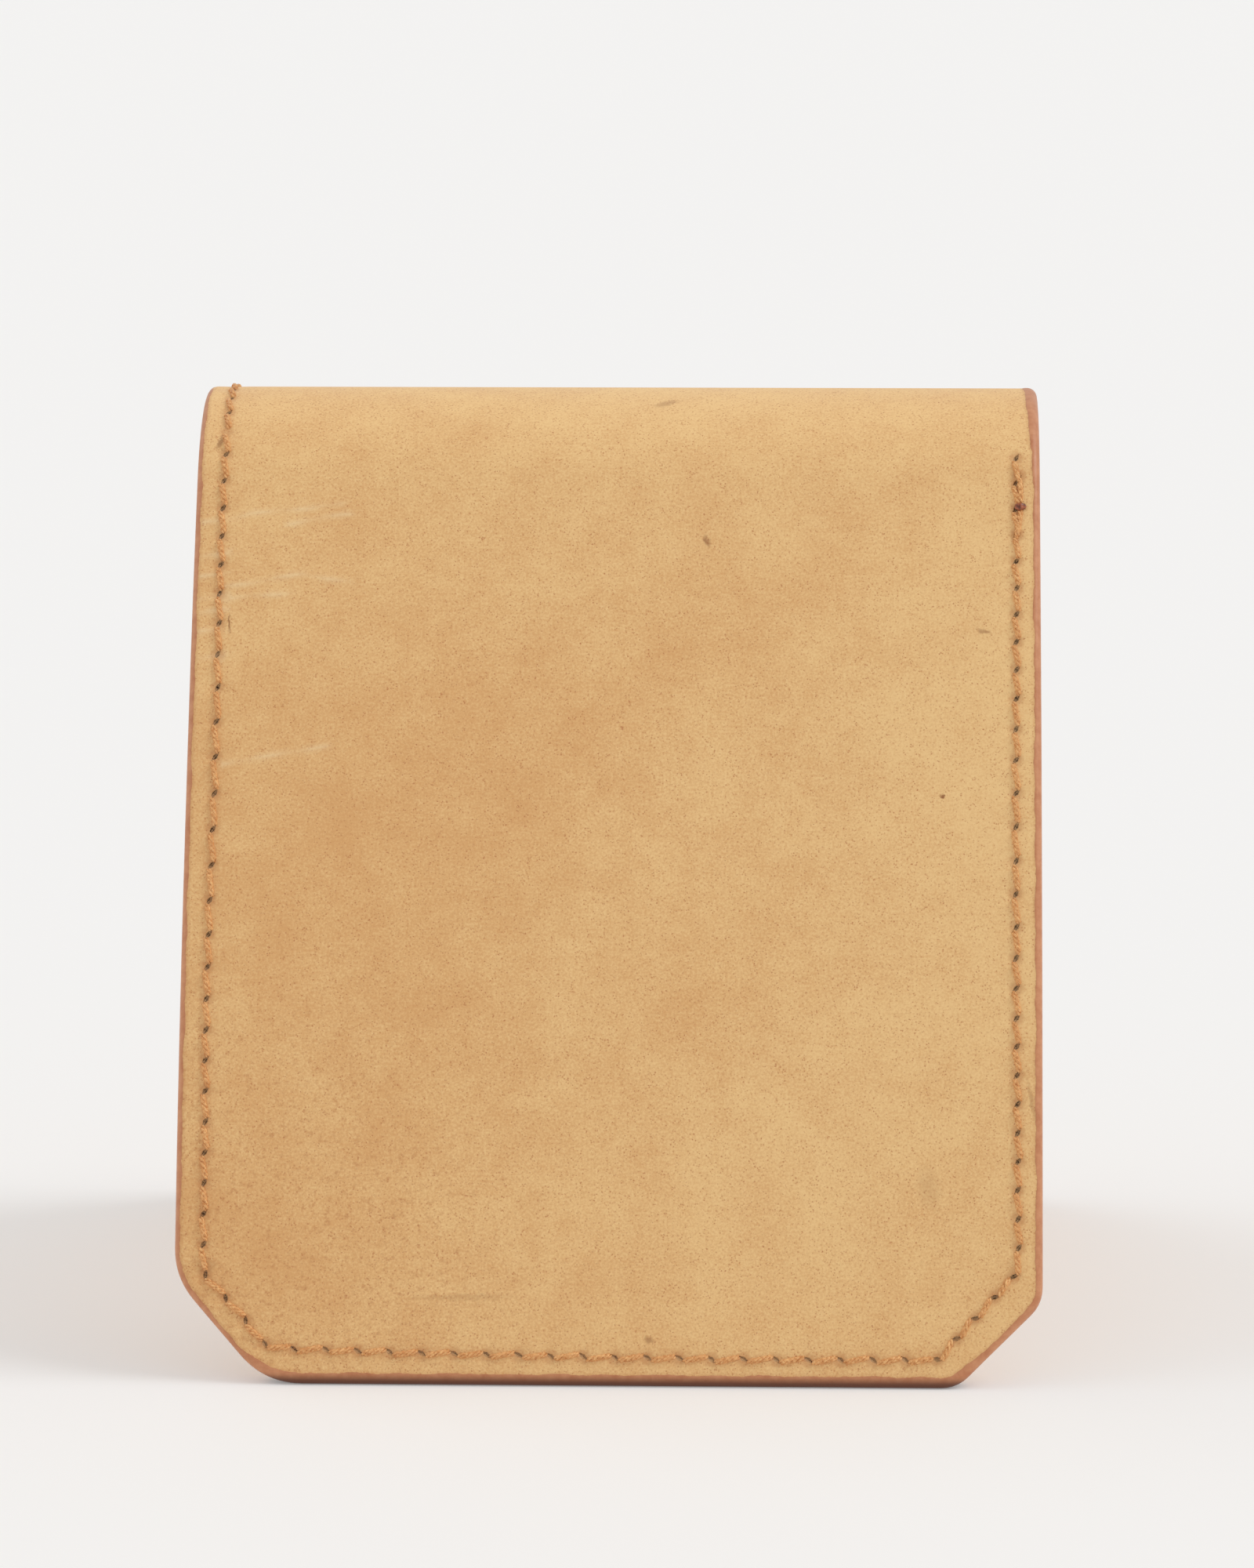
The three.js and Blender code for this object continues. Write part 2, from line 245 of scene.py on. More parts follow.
def leaf_holes():
    """The holes of the front leaf as (x, up), from the top of the fold round to the right."""
    left = up_the_side(LEFT_TURN_UP, FOOT - 1.9, 3.36, 0.85, 64, 18)[::-1]
    right = up_the_side(RIGHT_TURN_UP, SEAM_START_UP, 3.25, 0.75, 62, 16)
    left_side = [(LEFT_SEAM + 0.16 * math.sin(u / 9.0) * math.sin(u / 31), u) for u in left]
    right_side = [(RIGHT_SEAM + 0.12 * math.sin(u / 15 + 1), u) for u in right]
    left_side[-1] = (LEFT_SEAM + 0.4, LEFT_TURN_UP)
    right_side[0] = (RIGHT_SEAM - 0.4, RIGHT_TURN_UP)
    corner_left, foot_left, foot_right = (-37.4, 4.5), (-34.25, 3.9), (36.0, 3.3)
    round_left = between(left_side[-1], corner_left, 3) + [corner_left]
    foot_row = between(foot_left, foot_right, 20)
    foot_row = [(x, u - 0.35 * math.sin(math.pi * i / 20)) for i, (x, u) in enumerate(foot_row)]
    round_right = between(foot_right, right_side[0], 4)
    return left_side + round_left + [foot_left] + foot_row + [foot_right] + round_right + right_side


HOLE_LENGTH = 1.3
HOLE_WIDTH = 0.42
HOLE_SLANT = math.radians(33)
HAND_WANDER = 0.05  # millimetres that a hole strays from its marked place
HAND_TWIST = math.radians(7)  # how far the pricking iron turns in the hand
hand = np.random.default_rng(7)

front = np.array([(x, FOOT - up) for x, up in leaf_holes()])
back = front[::-1] * (1, -1)
holes = np.concatenate([back, front])
sewn_holes = len(holes)
ahead = np.gradient(holes, axis=0)
ahead /= np.linalg.norm(ahead, axis=1)[:, None]
to_the_right = np.stack([-ahead[:, 1], ahead[:, 0]], axis=1)
slants = HOLE_SLANT + HAND_TWIST * hand.uniform(-1, 1, (sewn_holes, 1))
hole_axis = ahead * np.cos(slants) + to_the_right * np.sin(slants)
holes = holes + HAND_WANDER * hand.uniform(-1, 1, holes.shape)
print(len(holes), "holes; pitch", np.linalg.norm(np.diff(front, axis=0), axis=1).round(2).min(), "to",
      np.linalg.norm(np.diff(front, axis=0), axis=1).round(2).max(), "mm")

# %% One more hole for each back-tack
EXTRA_HOLE = (RIGHT_SEAM + 0.45, 103.5)
for sign in (1, -1):
    holes = np.append(holes, [(EXTRA_HOLE[0], sign * (FOOT - EXTRA_HOLE[1]))], axis=0)
    hole_axis = np.append(hole_axis, [(0.2, 0.98)], axis=0)
HOLE_SCALE = np.append(hand.uniform(0.92, 1.06, sewn_holes), [0.55, 0.55])
print(len(holes), "holes with the back-tacks")

# %% [markdown]
# ## Creases
#
# Leather that has been folded and carried keeps a few soft creases: pale raised lines that run in from the
# left edge, and short wrinkles between the seam and the edge. They are drawn as polylines on the flat
# pattern. Rows of points follow them, so that they are real relief, and the same lines tint the leather.

# %% Draw the creases
CREASES_UP = [
    ((-43.8, 97.8), (-41.2, 98.7), (-39.0, 98.9), (-34.2, 99.3), (-30.7, 100.0)),
    ((-36.5, 97.4), (-32.4, 98.4), (-29.6, 98.7)),
    ((-43.9, 89.9), (-40.9, 90.2), (-38.3, 90.9), (-35.3, 91.4), (-32.2, 90.8), (-29.5, 90.5)),
    ((-43.7, 88.3), (-40.9, 88.8), (-36.4, 89.0)),
    ((-43.4, 69.0), (-39.5, 69.8), (-35.1, 70.6), (-31.6, 71.2)),
]
creases = [np.array(line) * (1, -1) + (0, FOOT) for line in CREASES_UP]
for up in (97.7, 93.6, 91.2, 88.5, 86.9, 84.6, 81.5):
    creases.append(np.array([(-46.6, FOOT - up + 0.15), (-45.2, FOOT - up - 0.05), (-43.4, FOOT - up - 0.3)]))
creases += [line * (-1, -1) + (0.8, 2.4) for line in creases]  # the back leaf creases at the same hand's grip
CREASE_HEIGHT = 0.05
CREASE_WIDTH = 0.34


def crease_at(x, s):
    """How strongly a place lies on a crease, from 0 to 1."""
    places = np.stack([x, s], axis=1)
    strength = np.zeros(len(places))
    for line in creases:
        near = (np.abs(places - line.mean(axis=0)) < 9).all(axis=1)
        for a, b in zip(line[:-1], line[1:]):
            along = b - a
            f = np.clip((places[near] - a) @ along / (along @ along), 0, 1)
            gap = np.linalg.norm(places[near] - a - f[:, None] * along, axis=1)
            strength[near] = np.maximum(strength[near], np.exp(-((gap / CREASE_WIDTH) ** 2)))
    return strength * (0.65 + 0.35 * np.sin(x * 1.3 + s))


crease_rows = []
for line in creases:
    along = np.diff(line, axis=0)
    for a, step in zip(line[:-1], along):
        side = np.array([-step[1], step[0]]) / np.linalg.norm(step)
        for k in range(round(np.linalg.norm(step) / 0.45)):
            middle = a + step * k / max(1, round(np.linalg.norm(step) / 0.45))
            crease_rows += [middle + side * w for w in (-0.75, -0.36, 0.0, 0.36, 0.75)]
crease_rows = np.array(crease_rows)
print(len(creases), "creases,", len(crease_rows), "points along them")

# %% [markdown]
# ## Sheets of leather with real holes and rounded edges
#
# A sheet is cut along its outline and pricked along the seam. Its two skins are filled with triangles
# that keep the outline and the holes, which Blender's Delaunay triangulation does well. Rows of points
# close to the outline let the edge be rounded, and rows near the seam let the thread press into the
# leather. Walls close the sheet at the outline and in the holes, so each sheet is a solid.
#
# Each point keeps what the materials need: its flat place, its distances from the nearest cut edge and
# the nearest hole, how far inside the edge paint it lies, how strongly it is creased, and whether it is at
# the bottom of a hole.

# %% Outlines
EDGE_STEP = 0.5
EDGE_ROWS = (0.04, 0.11, 0.22, 0.36, 0.53, 0.7, 0.84, 0.96, 1.08, 1.2, 1.32, 1.46, 1.7)
SEAM_ROWS = (2.05, 2.4, 2.75, 3.1, 3.4, 3.7, 4.1, 4.6)
GRID_STEP = 0.85


def rounded(corners):
    """A closed outline through corners given as (x, s, rounding), in even steps. Joins, given by a
    rounding of None at both ends, keep the shared row of places across a bend."""
    outline = []
    joined = []
    n = len(corners)
    plan = []
    for i, (x, s, r) in enumerate(corners):
        here = np.array([x, s])
        if not r:
            plan.append((here, here))
            continue
        to_last = np.array(corners[i - 1][:2]) - here
        to_next = np.array(corners[(i + 1) % n][:2]) - here
        start = here + to_last / np.linalg.norm(to_last) * r
        plan.append((start, here + to_next / np.linalg.norm(to_next) * r))
    for i, (x, s, r) in enumerate(corners):
        enter, leave = plan[i]
        if r:
            steps = max(4, int(1.6 * r / EDGE_STEP))
            for k in range(steps):
                f = k / steps
                outline.append((1 - f) ** 2 * enter + 2 * f * (1 - f) * np.array([x, s]) + f * f * leave)
                joined.append(False)
        to = plan[(i + 1) % n][0]
        is_join = r is None and corners[(i + 1) % n][2] is None and to[1] == leave[1]
        if is_join:
            xs = JOIN_PLACES if to[0] > leave[0] else JOIN_PLACES[::-1]
            stretch = [np.array([px, s]) for px in xs[:-1]]
        else:
            steps = max(1, round(np.linalg.norm(to - leave) / EDGE_STEP))
            stretch = [leave + (to - leave) * k / steps for k in range(steps)]
        outline += stretch
        joined += [is_join] * len(stretch)
    return np.array(outline), np.array(joined)


edge_places = sorted({0.0, *EDGE_ROWS, *SEAM_ROWS})
inner_places = np.linspace(-WIDTH / 2 + 5.4, WIDTH / 2 - 5.4, 100)
left_places = [-WIDTH / 2 + d for d in edge_places]
right_places = [WIDTH / 2 - d for d in edge_places[::-1]]
JOIN_PLACES = np.array(left_places + list(inner_places) + right_places)


def tree_of(places):
    tree = KDTree(len(places))
    for i, (x, s) in enumerate(places):
        tree.insert((x, s, 0), i)
    tree.balance()
    return tree


def from_holes(points):
    """The distance from each of points to the nearest hole's centre."""
    return np.array([hole_tree.find((x, s, 0))[2] for x, s in points])


def from_edge(points, outline, wanted):
    """The distance from each of points to the wanted stretches of an outline."""
    after = np.roll(outline, -1, axis=0)
    ends = np.flatnonzero(wanted | np.roll(wanted, 1))
    tree = tree_of(outline[ends])
    close = ends[[tree.find((x, s, 0))[1] for x, s in points]]
    best = np.full(len(points), 1e9)
    for start in (close, (close - 1) % len(outline)):
        a, along = outline[start], (after - outline)[start]
        f = np.clip(((points - a) * along).sum(axis=1) / (along ** 2).sum(axis=1), 0, 1)
        gap = np.linalg.norm(points - a - f[:, None] * along, axis=1)
        best = np.where(wanted[start], np.minimum(best, gap), best)
    return best


hole_tree = tree_of(holes)
crease_tree = tree_of(crease_rows)

# %% Fill an outline with triangles
def hole_loop(i, grow=0.0):
    """A pricked hole: a slim diamond with blunt corners, in 8 points."""
    centre, axis = holes[i], hole_axis[i]
    side = np.array([-axis[1], axis[0]])
    half_long = HOLE_LENGTH / 2 * HOLE_SCALE[i] + grow
    half_wide = HOLE_WIDTH / 2 + grow
    turns = np.arange(8) * math.pi / 4
    blunt = np.where(np.arange(8) % 2 == 0, 1.0, 0.78)
    along = np.outer(np.cos(turns) * half_long * blunt, axis)
    return centre + along + np.outer(np.sin(turns) * half_wide * blunt, side)


def fill(outline, joined, mine, rows, step):
    """Points and triangles of one skin. rows are distances from the cut edge that get a row of points."""
    loops = [outline] + [hole_loop(i) for i in mine]
    fixed = np.concatenate(loops)
    after = np.roll(outline, -1, axis=0)
    run = after - outline
    run /= np.linalg.norm(run, axis=1)[:, None]
    before_run = np.roll(run, 1, axis=0)
    turn_in = np.where((joined | np.roll(joined, 1))[:, None], 0, 1) * (run + before_run)
    cut_points = np.linalg.norm(turn_in, axis=1) > 0.1
    normal = np.stack([-turn_in[:, 1], turn_in[:, 0]], axis=1)[cut_points]
    normal /= np.linalg.norm(normal, axis=1)[:, None]
    area = 0.5 * np.sum(outline[:, 0] * after[:, 1] - after[:, 0] * outline[:, 1])
    normal *= np.sign(area)
    loose = [outline[cut_points] + normal * row for row in rows]
    for i in mine:
        loose.append(hole_loop(i, 0.16))
        loose.append(hole_loop(i, 0.42)[::2])
    rings = np.concatenate(loose)
    low, high = outline.min(axis=0), outline.max(axis=0)
    xs = np.arange(low[0] + step / 2, high[0], step)
    ss = np.arange(low[1] + step / 2, high[1], step)
    grid = np.stack(np.meshgrid(xs, ss), axis=2).reshape(-1, 2)
    clear = (rows[-1] if len(rows) else 0) + step * 0.45
    grid = grid[from_edge(grid, outline, ~joined) > clear]
    if len(rows) == len(EDGE_ROWS + SEAM_ROWS):
        near = ((crease_rows > low) & (crease_rows < high)).all(axis=1)
        grid = grid[[crease_tree.find((x, s, 0))[2] > 0.6 for x, s in grid]]
        follows = crease_rows[near]
        follows = follows[from_edge(follows, outline, np.ones(len(outline), bool)) > 0.3]
        grid = np.concatenate([grid, follows])
    hole_rings = 12 * len(mine)
    plain = np.concatenate([rings[:len(rings) - hole_rings], grid])
    if len(mine):
        plain = plain[from_holes(plain) > 1.1]
    loose = np.concatenate([plain, rings[len(rings) - hole_rings:]])
    keep = from_edge(loose, outline, ~joined) > 0.02
    if joined.any():
        keep &= from_edge(loose, outline, joined) > 0.18
    loose = loose[keep]
    if joined.any():
        beside = []
        for level in np.unique(outline[joined][:, 1]):
            inwards = 1 if level < outline[:, 1].mean() else -1
            row = np.full(len(JOIN_PLACES) - 2, level + 0.1 * inwards)
            beside.append(np.stack([JOIN_PLACES[1:-1], row], axis=1))
        loose = np.concatenate([loose] + beside)
    points = np.concatenate([fixed, loose])
    edges = []
    start = 0
    for loop in loops:
        n = len(loop)
        edges += [(start + k, start + (k + 1) % n) for k in range(n)]
        start += n
    made, _, triangles, origin, _, _ = delaunay_2d_cdt([Vector(p) for p in points], edges, [], 4, 1e-6)
    lookup = [ids[0] if ids else -1 for ids in origin]
    if -1 in lookup:
        extra = [i for i, ids in enumerate(origin) if not ids]
        points = np.concatenate([points, [made[i][:2] for i in extra]])
        for k, i in enumerate(extra):
            lookup[i] = len(points) - len(extra) + k
    return points, np.array([[lookup[v] for v in tri] for tri in triangles]), [len(loop) for loop in loops]


# %% Make a sheet
FINE = (EDGE_ROWS + SEAM_ROWS, GRID_STEP)
HIDDEN = ((), 2.6)


def seam_sink(to_hole):
    """How far the pulled thread sinks the leather round a hole."""
    return 0.17 * np.exp(-((to_hole / 0.85) ** 2))


def sheet(name, corners, outer, inner, painted, outer_skin=FINE, inner_skin=HIDDEN):
    """A solid sheet of leather. outer and inner give the depth of a skin from flat places and from the
    distances to the cut edge and to the nearest hole. painted gives the width of the edge paint."""
    outline, joined = rounded(corners)
    low, high = outline.min(axis=0), outline.max(axis=0)
    in_box = ((holes > low + 0.6) & (holes < high - 0.6)).all(axis=1)
    in_box[in_box] = from_edge(holes[in_box], outline, np.ones(len(outline), bool)) > 0.6
    mine = np.flatnonzero(in_box)
    skins = []
    for depth, (rows, step) in ((outer, outer_skin), (inner, inner_skin)):
        flat, triangles, loops = fill(outline, joined, mine, rows, step)
        skins.append((flat, triangles, depth))
    places, flats, edges, pulls, paints, bores, folds, faces = [], [], [], [], [], [], [], []
    base = 0
    for k, (flat, triangles, depth) in enumerate(skins):
        x, s = flat[:, 0], flat[:, 1]
        edge = from_edge(flat, outline, ~joined)
        edge[:len(outline)] = np.where(joined | np.roll(joined, 1), edge[:len(outline)], 0.0)
        to_hole = from_holes(flat)
        t = depth(x, s, edge, to_hole)
        places.append(bend(x, s, t))
        flats.append(np.stack([x, s, t], axis=1))
        edges.append(edge)
        pulls.append(to_hole)
        paints.append(painted(x, s) - edge)
        # bore marks the hidden skin round a hole, where the hole's walls get painted shade
        bores.append(np.where((to_hole < 0.9) & ((outer_skin, inner_skin)[k][0] == ()), 1.0, 0.0))
        folds.append(crease_at(x, s))
        faces += [tuple(tri[::-1] + base) if k == 0 else tuple(tri + base) for tri in triangles]
        base += len(flat)
    first = len(skins[0][0])
    start = 0
    for n in loops:
        area = 0.5 * sum(np.cross(flat[start + i], flat[start + (i + 1) % n]) for i in range(n))
        turn = area > 0 if start == 0 else area < 0
        for i in range(n):
            a, b = start + i, start + (i + 1) % n
            wall = (a, b, first + b, first + a)
            faces.append(wall if turn else wall[::-1])
        start += n
    piece = solid(name, np.concatenate(places), faces)
    keep_on_points(piece, "flat", "FLOAT_VECTOR", np.concatenate(flats))
    keep_on_points(piece, "edge", "FLOAT", np.concatenate(edges))
    keep_on_points(piece, "hole", "FLOAT", np.concatenate(pulls))
    keep_on_points(piece, "paint", "FLOAT", np.concatenate(paints))
    keep_on_points(piece, "bore", "FLOAT", np.concatenate(bores))
    keep_on_points(piece, "crease", "FLOAT", np.concatenate(folds))
    drop_loose(piece)
    print(name, len(piece.data.vertices), "points,", len(mine), "holes")
    return piece


def solid(name, places, faces):
    mesh = bpy.data.meshes.new(name)
    mesh.from_pydata([tuple(p) for p in places], [], faces)
    mesh.shade_smooth()
    mesh.set_sharp_from_angle(angle=math.radians(42))
    piece = bpy.data.objects.new(name, mesh)
    bpy.context.scene.collection.objects.link(piece)
    return piece


def keep_on_points(piece, name, kind, values):
    attribute = piece.data.attributes.new(name, kind, "POINT")
    field = "vector" if kind == "FLOAT_VECTOR" else "value"
    attribute.data.foreach_set(field, np.asarray(values, np.float32).ravel())


def drop_loose(piece):
    """Take away the points that no face uses."""
    made = bmesh.new()
    made.from_mesh(piece.data)
    unused = [v for v in made.verts if not v.link_faces]
    bmesh.ops.delete(made, geom=unused, context="VERTS")
    made.to_mesh(piece.data)
    made.free()


# %% [markdown]
# ## The shell
#
# The shell is the thick outer leather. On the real card holder it is one piece. Here it is parted along
# six lines across the fold, halfway between the hinges, because each part may bend over one hinge only.
# The parts share the row of points along each join, so nothing shows there.

# %% The parts of the fold
strip_length = 2 * FOLD_LENGTH / 6
joins = [k * strip_length for k in (-2, -1, 0, 1, 2)]
spans = [(-FOOT, joins[0]), *zip(joins[:-1], joins[1:]), (joins[-1], FOOT)]
part_names = ["back", "fold_back_low", "fold_back_high", "fold_front_high", "fold_front_low", "front"]
part_strips = [(), (1,), (2, 3), (3, 4), (5,), ()]
bend_ends = [(-3 * strip_length, joins[0]), *zip(joins[:-1], joins[1:]), (joins[-1], 3 * strip_length)]


def leaf_corners(sign, top):
    """A leaf's outline from the join across the fold, round the foot. sign is 1 on the front leaf."""
    half = WIDTH / 2
    across_left, up_left = CUT_LEFT
    across_right, up_right = CUT_RIGHT
    corners = [
        (-half, top, None), (-half, FOOT - up_left, ROUND_LEFT_SIDE),
        (-half + across_left, FOOT, ROUND_LEFT_FOOT), (half - across_right, FOOT, ROUND_RIGHT),
        (half, FOOT - up_right, ROUND_RIGHT), (half, top, None),
    ]
    corners = [(x, sign * s, r) for x, s, r in corners]
    return corners if sign > 0 else corners[::-1]


def part_corners(k):
    """The outline of one part of a layer that covers the whole card holder."""
    low, high = spans[k]
    half = WIDTH / 2
    if k in (0, 5):
        return leaf_corners(1 if k == 5 else -1, joins[-1])
    return [(-half, low, None), (-half, high, None), (half, high, None), (half, low, None)]


# %% Build the shell
def round_over(edge, radius):
    """How deep a rounded edge lies below the skin, at a distance from the cut edge."""
    return radius - np.sqrt(np.maximum(radius ** 2 - np.maximum(radius - edge, 0) ** 2, 0))


PAINT_THICKNESS = 0.06


def shell_paint(x, s):
    """How far the edge paint reaches over the shell, wider round the foot and on the right, and smeared
    at the right of the fold."""
    side = np.where(x < 0, 0.62, 0.8)
    smear = (0.3 + 0.4 * smooth(12, 1, np.abs(s - 2))) * smooth(14.6, 14.2, s) * smooth(-9, -7, s)
    side = side + np.where(x > 0, smear, 0)
    foot = smooth(5, 1.2, FOOT - np.abs(s))
    wave = 0.07 * np.sin(s / 1.9 + x) * np.sin(s / 5.3 + x / 2.3) + 0.05 * np.sin((x + s) / 0.9)
    return side + (1.4 - side) * foot + wave


def shell_outer(x, s, edge, to_hole):
    coat = PAINT_THICKNESS * smooth(-0.1, 0.12, shell_paint(x, s) - edge)
    ridge = CREASE_HEIGHT * crease_at(x, s)
    return round_over(edge, 1.05) + seam_sink(to_hole) - coat - ridge


def shell_inner(x, s, edge, to_hole):
    return np.full(len(x), SHELL)


def in_parts(layer, outer, inner, painted, outer_skin, inner_skin):
    """Make a layer that covers the whole card holder, as six parts parted across the fold."""
    made = []
    for k, name in enumerate(part_names):
        corners = part_corners(k)
        piece = sheet(f"{name}_{layer}_leather", corners, outer, inner, painted, outer_skin, inner_skin)
        start, end = bend_ends[k]
        first, last = tuple(bend(0, start, SHELL / 2)), tuple(bend(0, end, SHELL / 2))
        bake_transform(piece)
        nodes = [f"fold_{layer}_{n}" for n in part_strips[k]] or [f"{name}_{layer}"]
        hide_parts(*nodes)
        made.append(piece)
    return made


shell = in_parts("shell", shell_outer, shell_inner, shell_paint, FINE, HIDDEN)

# %% [markdown]
# ## The lining
#
# A thin leather covers the whole inside. Its inner skin shows between the pockets and under the fold, so
# that side gets the fine points, and the side glued to the shell stays coarse.

# %% Build the lining
POCKET_TOP_UP = 78.0


HAIRLINE = 0.01  # glued layers lie this close, so that the painted edge looks like one


def lining_outer(x, s, edge, to_hole):
    return np.full(len(x), SHELL + HAIRLINE)


def lining_inner(x, s, edge, to_hole):
    bare = smooth(POCKET_TOP_UP - 1, POCKET_TOP_UP, FOOT - np.abs(s))
    coat = PAINT_THICKNESS * smooth(-0.1, 0.12, lining_paint(x, s) - edge)
    return LINING_TOP + LINING - bare * (round_over(edge, 0.6) + 0.5 * seam_sink(to_hole) - coat)


def lining_paint(x, s):
    return 0.62 + 0.06 * np.sin(s / 1.7 + x) + 0.05 * np.sin(s / 4.1)


lining = in_parts("lining", lining_outer, lining_inner, lining_paint, HIDDEN, FINE)

# %% [markdown]
# ## The card pockets
#
# Three pockets overlap like steps on each leaf. If all of them ran to the foot, the edge would be too
# thick to sew, so the upper two are cut as a T: full width at the mouth, with a narrower tongue that runs
# down behind the next pocket. The lowest one is sewn in all round, and has a thumb cut in its mouth.
# The rims lie flat on the lining where they are sewn, and the middle stands clear to let a card in.

# %% Build the pockets
MOUTH_UP = {"upper": POCKET_TOP_UP, "middle": 63.5, "lower": 49.0}
TONGUE_END_UP = {"upper": 26.0, "middle": 13.0}
TONGUE_HALF = 40.0
THUMB_RADIUS = 9.5
SLOT = 0.35
CREASE_LINE = 1.6  # a warm iron draws a fine line this far below each mouth
pocket_order = list(MOUTH_UP)


def raised_depth(name):
    return LINING_TOP + LINING + SLOT + pocket_order.index(name) * (POCKET + SLOT)


def from_cuts(x, up):
    """The distance inwards from the nearer slanting cut of a foot."""
    gaps = []
    for away, (across, rise) in ((WIDTH / 2 + x, CUT_LEFT), (WIDTH / 2 - x, CUT_RIGHT)):
        gaps.append((away / across + up / rise - 1) / math.hypot(1 / across, 1 / rise))
    return np.minimum(*gaps)


def pocket_depths(name, sign):
    """The depth functions of a pocket's two skins."""
    mouth = MOUTH_UP[name]

    def outer(x, s, edge, to_hole):
        up = FOOT - sign * s
        raised = 1 - smooth(41.6, 43.6, np.abs(x))
        if name == "lower":
            raised = raised * smooth(4.6, 10.0, up) * smooth(4.4, 9.0, from_cuts(x, up))
        gape = 0.4 * np.clip(1 - (x / 40) ** 2, 0, 1) * np.exp(-(mouth - up) / 7)
        rim = LINING_TOP + LINING + HAIRLINE
        return rim + (raised_depth(name) - rim + gape) * raised

    def inner(x, s, edge, to_hole):
        up = FOOT - sign * s
        on_mouth = smooth(3.2, 2.8, mouth - up) * smooth(42, 41, np.abs(x))
        groove = 0.09 * on_mouth * np.exp(-(((edge - CREASE_LINE) / 0.22) ** 2))
        sink = 0.6 * seam_sink(to_hole)
        return outer(x, s, edge, to_hole) + POCKET - round_over(edge, 0.42) - sink - groove

    return outer, inner


def pocket_corners(name, sign):
    half = WIDTH / 2
    mouth = MOUTH_UP[name]
    if name == "lower":
        turns = np.linspace(0, math.pi, 25)
        thumb = [(THUMB_RADIUS * math.cos(a), mouth - THUMB_RADIUS * math.sin(a), 0) for a in turns[1:-1]]
        right = [(half, CUT_RIGHT[1], ROUND_RIGHT), (half - CUT_RIGHT[0], 0, ROUND_RIGHT)]
        left = [(-half + CUT_LEFT[0], 0, ROUND_LEFT_FOOT), (-half, CUT_LEFT[1], ROUND_LEFT_SIDE)]
        left.append((-half, mouth, 0))
        left.append((-THUMB_RADIUS, mouth, 0.6))
        corners = left + thumb[::-1] + [(THUMB_RADIUS, mouth, 0.6), (half, mouth, 0)] + right
    else:
        shoulder = MOUTH_UP[pocket_order[pocket_order.index(name) + 1]] + HAIRLINE
        end = TONGUE_END_UP[name]
        top = 0.4 if name == "upper" else 0
        right = [(half, mouth, top), (half, shoulder, 0), (TONGUE_HALF, shoulder, 1.5), (TONGUE_HALF, end, 3)]
        corners = [(-x, up, r) for x, up, r in right[::-1]] + right
    corners = [(x, sign * (FOOT - up), r) for x, up, r in corners]
    return corners if sign > 0 else corners[::-1]


POCKET_ROWS = (0.05, 0.13, 0.24, 0.4, 0.58, 0.8, 1.1, 1.38, 1.52, 1.68, 1.84, 2.2)


def pocket_paint(x, s):
    """Side rims are painted like the rest of the edge, and mouths only just over their corner."""
    rim = smooth(46.2, 46.7, np.abs(x)) * 0.34 + 0.28
    return rim + 0.03 * np.sin(x / 1.3 + s)


pockets = []
for leaf, sign in (("front", 1), ("back", -1)):
    for name in pocket_order:
        outer, inner = pocket_depths(name, sign)
        fine = (POCKET_ROWS, 1.0)
        corners = pocket_corners(name, sign)
        piece = sheet(f"{leaf}_{name}_card_pocket", corners, outer, inner, pocket_paint, ((), 1.6), fine)
        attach(piece, f"{leaf}_leaf")
        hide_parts(f"{leaf}_{name}_pocket")
        pockets.append(piece)

# %% [markdown]
# ## The thread
#
# The thread has three plies twisted together. A stitch leaves its hole steeply, lies a third sunk in the
# leather, and dives into the next hole. Each ply is a thin tube that winds round the stitch's path, all
# worked out on the flat pattern and bent with the leather. Both sides of the work show stitches.

# %% Twist a stitch
PLIES = 3
PLY_RADIUS = 0.165
PLY_OFFSET = 0.155
TWIST_LENGTH = 1.9
PLY_SIDES = 6
STITCH_BOW = 0.014  # how far a stitch bows sideways, as a share of its length
STITCH_STEPS = 22
HOLE_REACH = 0.5


def through(points, steps):
    """A smooth path through the points, in even steps."""
    points = np.array(points, float)
    padded = np.concatenate([2 * points[:1] - points[1:2], points, 2 * points[-1:] - points[-2:-1]])
    at = np.linspace(0, len(points) - 1 - 1e-9, steps)
    k = at.astype(int)
    f = (at - k)[:, None]
    p0, p1, p2, p3 = (padded[k + j] for j in range(4))
    square = (2 * p0 - 5 * p1 + 4 * p2 - p3) * f ** 2
    return 0.5 * (2 * p1 + (p2 - p0) * f + square + (3 * p1 - p0 - 3 * p2 + p3) * f ** 3)


